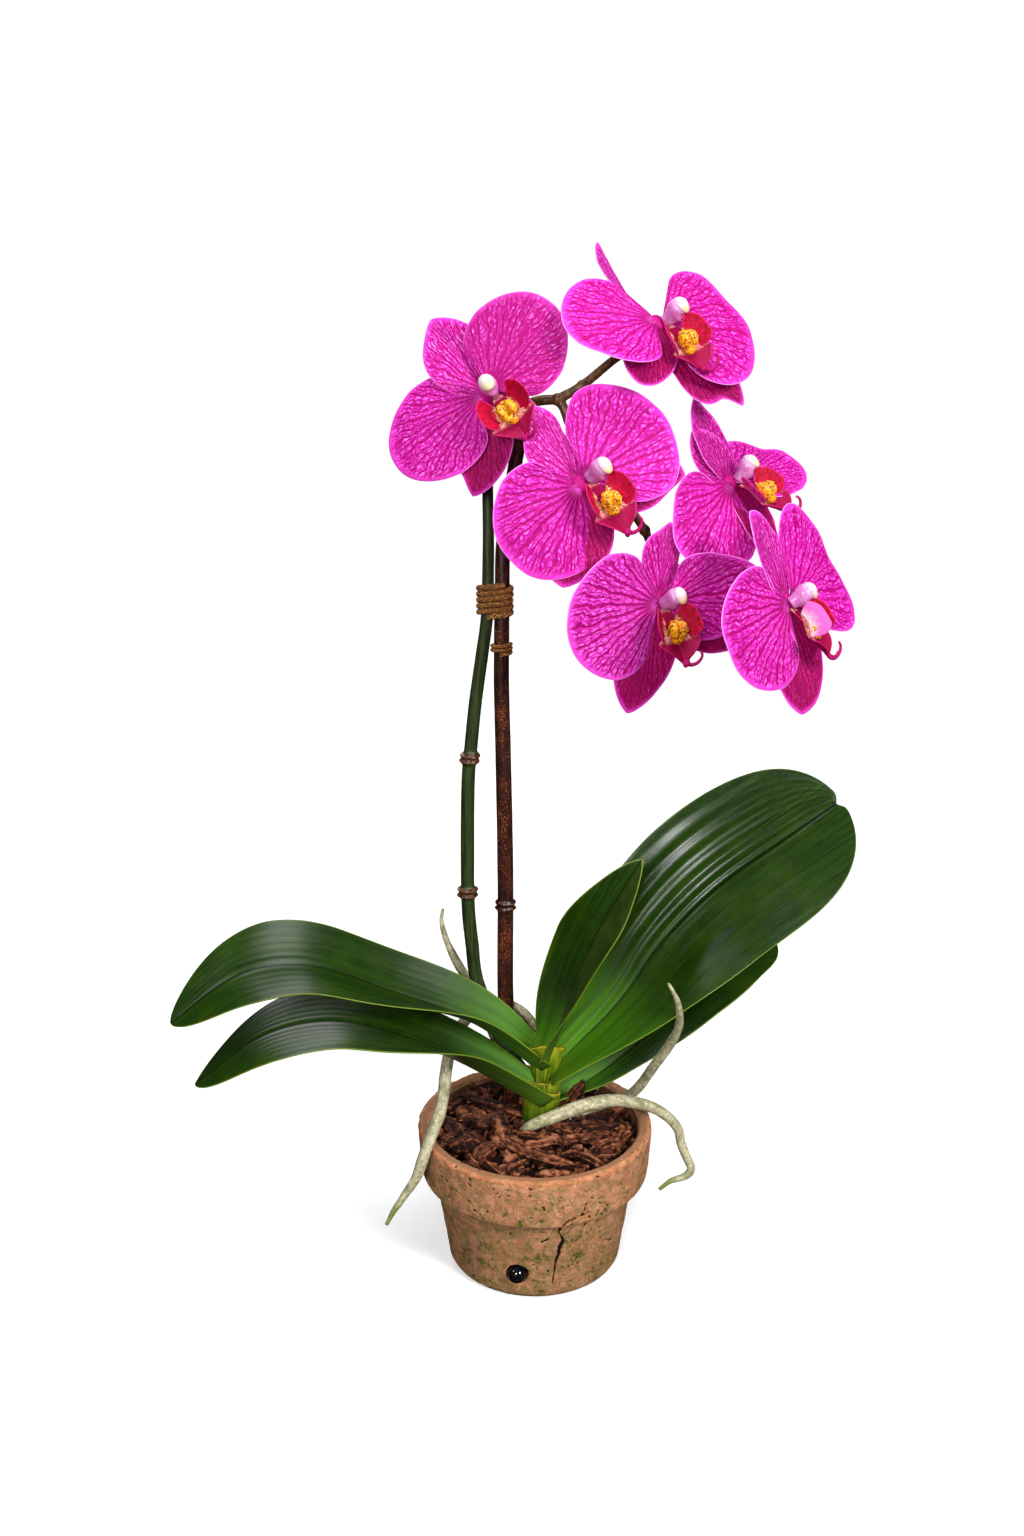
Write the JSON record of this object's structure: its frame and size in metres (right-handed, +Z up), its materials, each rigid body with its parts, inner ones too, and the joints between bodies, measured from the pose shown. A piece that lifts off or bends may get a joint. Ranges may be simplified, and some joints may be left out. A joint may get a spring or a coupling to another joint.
{
  "type": "potted moth orchid",
  "caption": "Pink moth orchid in bloom, its arching flower spike tied to a cane, with leathery leaves and air roots, growing in bark in a weathered clay pot.",
  "frame": {"origin": "centre of the pot's flat underside", "axes": "+Z up, the front that the blooms face is -Y, +X to the right of it"},
  "size_m": [0.334, 0.1222, 0.5032],
  "materials": {
    "clay": "matt, weathered",
    "bead": "glossy",
    "bark": "rough",
    "leaf": "waxy",
    "sheath": "satin",
    "root": "matt",
    "spike": "satin",
    "cane": "satin",
    "twine": "rough",
    "petal": "velvety",
    "lip": "satin",
    "column": "satin",
    "callus": "satin"
  },
  "bodies": {
    "root": {"pot": "clay", "drain_bead": "bead", "bark": "bark", "crown": "sheath", "leaf_upper_left": "leaf", "leaf_lower_left": "leaf", "leaf_large_right": "leaf", "leaf_lower_right": "leaf", "leaf_young": "leaf", "root_front": "root", "root_rising": "root", "root_hanging": "root", "root_back": "root", "stake": "cane", "flower_spike": "spike", "twine_tie": "twine", "twine_ring": "twine", "bloom_1_petals": "petal", "bloom_1_lip": "lip", "bloom_1_column": "column", "bloom_1_callus": "callus", "bloom_2_petals": "petal", "bloom_2_lip": "lip", "bloom_2_column": "column", "bloom_2_callus": "callus", "bloom_3_petals": "petal", "bloom_3_lip": "lip", "bloom_3_column": "column", "bloom_3_callus": "callus", "bloom_4_petals": "petal", "bloom_4_lip": "lip", "bloom_4_column": "column", "bloom_4_callus": "callus", "bloom_5_petals": "petal", "bloom_5_lip": "lip", "bloom_5_column": "column", "bloom_5_callus": "callus", "bloom_6_petals": "petal", "bloom_6_lip": "lip", "bloom_6_column": "column", "bloom_6_callus": "callus"}
  },
  "joints": []
}
